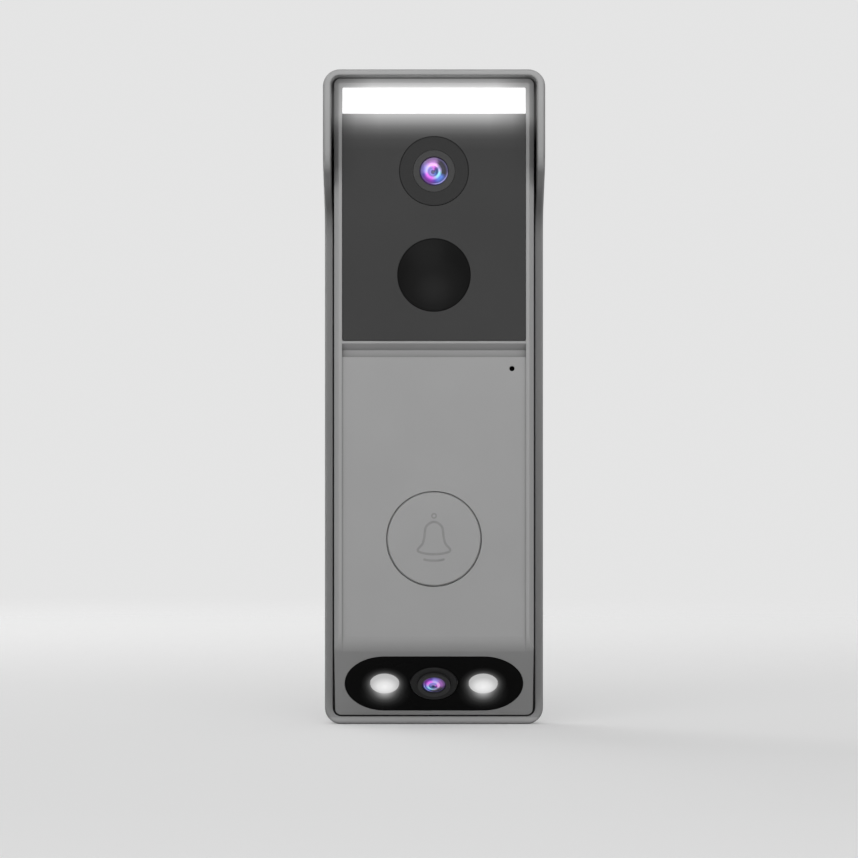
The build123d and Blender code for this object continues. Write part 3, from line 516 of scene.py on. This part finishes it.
# Painted shade in the screws' own recesses
steel.to(steel.times(steel.occlusion_shade(1.5 * mm, 0.1, own=True), steel.shade), "Base Color")
plain("screw_black", 0.03, 0.4)
plain("mesh_black", 0.004, 0.8, 0.1)
plain("can_steel", 0.6, 0.35, metallic=1.0)
plain("terminal_brass", (0.7, 0.5, 0.2, 1), 0.35, metallic=1.0)
plain("gasket_rubber", 0.02, 0.8)
silicone = plain("membrane_silicone", 0.4, 0.6)
plain("reflector_white", 0.85, 0.5)
plain("board_white", 0.75, 0.5)
plain("board_green", (0.02, 0.14, 0.06, 1), 0.4)
plain("led_white", (0.85, 0.82, 0.6, 1), 0.3)
plain("tape_black", 0.02, 0.8)
plain("holder_black", 0.03, 0.5)
plain("sensor_chip", (0.05, 0.04, 0.08, 1), 0.15)
plain("switch_black", 0.02, 0.5)
plain("plunger_white", 0.75, 0.5)
plain("diaphragm_film", 0.06, 0.4)
plain("chip_black", 0.015, 0.5)
plain("battery_wrap", (0.33, 0.35, 0.38, 1), 0.4)
plain("antenna_film", (0.3, 0.15, 0.03, 1), 0.3)
plain("connector_ivory", (0.7, 0.66, 0.52, 1), 0.5)
plain("ribbon_film", 0.6, 0.35)

# Nodes with a paint of their own, in place of their slot's
coats = {
    "camera_glass": "camera_coat",
    "chin_glass": "chin_coat",
    "chin_bezel": "ring_black",
    "chin_barrel": "neck_black",
}
for part in frame["record"]["subparts"]:
    name = part["node"]
    mesh = nodes[name].data
    mesh.materials.clear()
    mesh.materials.append(paints[coats.get(name, part["material_slot"])])


def add_piece(name, corners, faces, paint, body):
    """Closed mesh piece that rides on a body, with its faces turned outwards."""
    mesh = bpy.data.meshes.new(name)
    mesh.from_pydata(corners, [], faces)
    shape = bmesh.new()
    shape.from_mesh(mesh)
    bmesh.ops.recalc_face_normals(shape, faces=shape.faces)
    shape.to_mesh(mesh)
    shape.free()
    mesh.materials.append(paint.material)
    piece = bpy.data.objects.new(name, mesh)
    scene.collection.objects.link(piece)
    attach(piece, body)
    return piece


# Silicone membrane below the button: a soft sleeve
membrane_skin = 0.7 * mm
membrane_step = 1.2 * mm
membrane_land = 2.0 * mm
membrane_round = 0.15 * mm
membrane_turns = 72
membrane_front, membrane_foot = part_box("button_membrane")
tall = membrane_foot.y - membrane_front.y
foot_radius = membrane_foot.x
inner_radius = foot_radius - 2 * membrane_step - membrane_land
edge_radius = inner_radius + membrane_land
membrane_profile = [
    (inner_radius, tall),
    (edge_radius, tall),
    (edge_radius + membrane_step, membrane_skin),
    (foot_radius, membrane_skin),
    (foot_radius, 0),
    (edge_radius + membrane_step / 2, 0),
    (edge_radius - membrane_step / 2, tall - membrane_skin),
    (inner_radius, tall - membrane_skin),
]
membrane_corners = []
membrane_faces = []
corner_count = len(membrane_profile)
for step in range(membrane_turns):
    turn = 2 * pi * step / membrane_turns
    here = corner_count * step
    there = corner_count * ((step + 1) % membrane_turns)
    for corner, (radius, height) in enumerate(membrane_profile):
        beside = (corner + 1) % corner_count
        spot = (radius * cos(turn), membrane_foot.y - height, button_z + radius * sin(turn))
        membrane_corners.append(spot)
        membrane_faces.append((here + corner, here + beside, there + beside, there + corner))
sleeve = add_piece(
    "membrane_sleeve", membrane_corners, membrane_faces, silicone, "housing"
)
sleeve_edges = sleeve.modifiers.new("soft_edges", "BEVEL")
sleeve_edges.width = membrane_round
sleeve_edges.segments = 3
sleeve_edges.angle_limit = radians(30)
sleeve.data.shade_smooth()
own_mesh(sleeve)
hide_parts("button_membrane")

# Bell pictogram on the button, in millimetres from the button's middle
bell_line = 0.6
loop_line = 0.36
bell_raised = 0.05
bell_sunk = 0.02
bell_edge = 0.06
round_steps = 5
section_count = 4
bell_paint = plain("bell_grey", 0.225, 0.5, 0.4)


def stroke(name, points, closed=False, line=bell_line):
    """Raised line along (x, z) points on the button's face, with round ends where it is open."""
    half = line / 2
    stations = []
    for index, point in enumerate(points):
        before = points[index - 1] if closed or index else point
        after = points[(index + 1) % len(points)] if closed or index < len(points) - 1 else point
        stations.append((point, (after - before).normalized(), half))
    if not closed:
        start, start_run = stations[0][:2]
        end, end_run = stations[-1][:2]
        for step in range(1, round_steps):
            turn = pi / 2 * step / round_steps
            stations.insert(0, (start - start_run * half * sin(turn), start_run, half * cos(turn)))
            stations.append((end + end_run * half * sin(turn), end_run, half * cos(turn)))
    corners = []
    for point, run, reach in stations:
        side = Vector((-run.y, run.x))
        top = max(reach - bell_edge, reach / 2)
        section = ((reach, bell_sunk), (top, -bell_raised), (-top, -bell_raised), (-reach, bell_sunk))
        for offset, depth in section:
            spot = point + side * offset
            corners.append((spot.x * mm, face_y + depth * mm, button_z + spot.y * mm))
    faces = []
    last = len(stations) if closed else len(stations) - 1
    for index in range(last):
        here = section_count * index
        there = section_count * ((index + 1) % len(stations))
        for edge in range(section_count):
            turn_to = (edge + 1) % section_count
            faces.append((here + edge, here + turn_to, there + turn_to, there + edge))
    if not closed:
        faces.append(tuple(range(section_count)))
        faces.append(tuple(section_count * last + edge for edge in range(section_count)))
    add_piece(name, corners, faces, bell_paint, "button")


def bend(*points, steps=10):
    """Points along one Bezier stretch from its knots and handles."""
    return interpolate_bezier(*[Vector(point) for point in points], steps)


bell_right = bend((0, 4.3), (0.9, 4.3), (1.9, 3.5), (2.18, 2.6))[:-1]
bell_right += bend((2.18, 2.6), (2.35, 1.2), (2.45, -0.6), (2.95, -1.35))[:-1]
bell_right += bend((2.95, -1.35), (3.3, -1.9), (4.7, -2.75), (3.75, -3.2))[:-1]
bell_right += bend((3.75, -3.2), (2.6, -3.65), (1.2, -3.8), (0, -3.8))
bell_left = [Vector((-point.x, point.y)) for point in reversed(bell_right[1:-1])]
stroke("bell_outline", bell_right + bell_left, closed=True)
loop_middle = Vector((0, 5.8))
loop_radius = 0.55
loop_steps = 24
loop_turns = [2 * pi * step / loop_steps for step in range(loop_steps)]
loop_points = [loop_middle + loop_radius * Vector((cos(turn), sin(turn))) for turn in loop_turns]
stroke("bell_loop", loop_points, closed=True, line=loop_line)
stroke("bell_clapper", bend((-2.4, -5.1), (-1.2, -5.5), (1.2, -5.5), (2.4, -5.1)))

# Plain pale floor that fades into the backdrop and is clear from below
pale = 0.78
floor_bounce = 0.38
floor_glow = 0.2
floor_half = 2.5
fade_from = 0.3
fade_to = 1.2
floor_signs = [(-1, -1), (1, -1), (1, 1), (-1, 1)]
floor_corners = [(x * floor_half, y * floor_half, cad_low.z) for x, y in floor_signs]
floor_mesh = bpy.data.meshes.new("floor")
floor_mesh.from_pydata(floor_corners, [], [(0, 1, 2, 3)])
floor = bpy.data.objects.new("floor", floor_mesh)
scene.collection.objects.link(floor)
ground = Paint("floor_pale", grey(pale), 0.9, 0.0)
floor_shown = ground.shown_ray()
ground.to(ground.mix("MIX", floor_shown, grey(floor_bounce), grey(pale)), "Base Color")
ground.set("Emission Color", white)
ground.to(ground.math("MULTIPLY", floor_shown, floor_glow), "Emission Strength")
far = ground.add("ShaderNodeVectorMath", operation="LENGTH")
ground.feed(ground.place, far.inputs[0])
far_share = ground.math("DIVIDE", far.outputs["Value"], fade_to)
fade_out = ground.ramp(far_share, [(fade_from / fade_to, 0.0), (1.0, 1.0)], smooth=True)
from_below = ground.add("ShaderNodeNewGeometry").outputs["Backfacing"]
blend = ground.add("ShaderNodeMixShader")
ground.feed(ground.math("MAXIMUM", fade_out, from_below), blend.inputs[0])
ground.feed(ground.shader.outputs[0], blend.inputs[1])
ground.feed(ground.add("ShaderNodeBsdfTransparent").outputs[0], blend.inputs[2])
ground.feed(blend.outputs[0], ground.tree.nodes["Material Output"].inputs["Surface"])
floor_mesh.materials.append(ground.material)

# World: a soft dome with a broad bright patch in front of the object, that shows as a pale backdrop
dome_level = 0.33
dome_front = 4.1
dome_focus = 8
dome_toward = Vector((-0.02, -1, 0.1)).normalized()
scene.view_settings.view_transform = "Standard"
scene.world = bpy.data.worlds.new("studio")
scene.world.use_nodes = True
sky = Tree(scene.world.node_tree)
toward = sky.add("ShaderNodeVectorMath", operation="DOT_PRODUCT")
sky.feed(sky.add("ShaderNodeTexCoord").outputs["Generated"], toward.inputs[0])
toward.inputs[1].default_value = dome_toward
patch = sky.math("POWER", sky.math("MAXIMUM", toward.outputs["Value"]), dome_focus)
dome = sky.math("ADD", sky.math("MULTIPLY", patch, dome_front), dome_level)
level = sky.add("ShaderNodeMix")
sky.feed(sky.shown_ray(), level.inputs[0])
sky.feed(dome, level.inputs[2])
sky.feed(pale, level.inputs[3])
backdrop = sky.tree.nodes["Background"]
sky.feed(level.outputs[0], backdrop.inputs["Strength"])
backdrop.inputs["Color"].default_value = white


def soft_light(name, place, size, level):
    """Area light aimed at the object, with the share of full white that it gives a surface facing it."""
    data = bpy.data.lights.new(name, "AREA")
    data.shape = "SQUARE"
    data.size = size
    away = Vector(place)
    data.energy = level * pi * pi * away.length_squared
    light = bpy.data.objects.new(name, data)
    light.location = away
    light.rotation_mode = "QUATERNION"
    light.rotation_quaternion = (-away).to_track_quat("-Z", "Y")
    scene.collection.objects.link(light)


soft_light("key_light", (-0.2, -1.5, 0.75), 0.9, 0.12)
soft_light("back_light", (-0.7, 1.3, 0.35), 1.0, 0.45)

# Camera at the photo's viewing angle: straight on, level with the middle of the picture
picture_width = 858
focal_pixels = 6000
eye_x = -1.25 * mm
eye_away = 1.5
eye_z = -7.3 * mm
lens = bpy.data.cameras.new("camera")
lens.sensor_width = 36
lens.lens = focal_pixels / picture_width * lens.sensor_width
lens.clip_start = 0.01
lens.clip_end = 50
eye = bpy.data.objects.new("camera", lens)
eye.location = (eye_x, face_y - eye_away, eye_z)
eye.rotation_euler = (pi / 2, 0, 0)
scene.collection.objects.link(eye)
scene.camera = eye
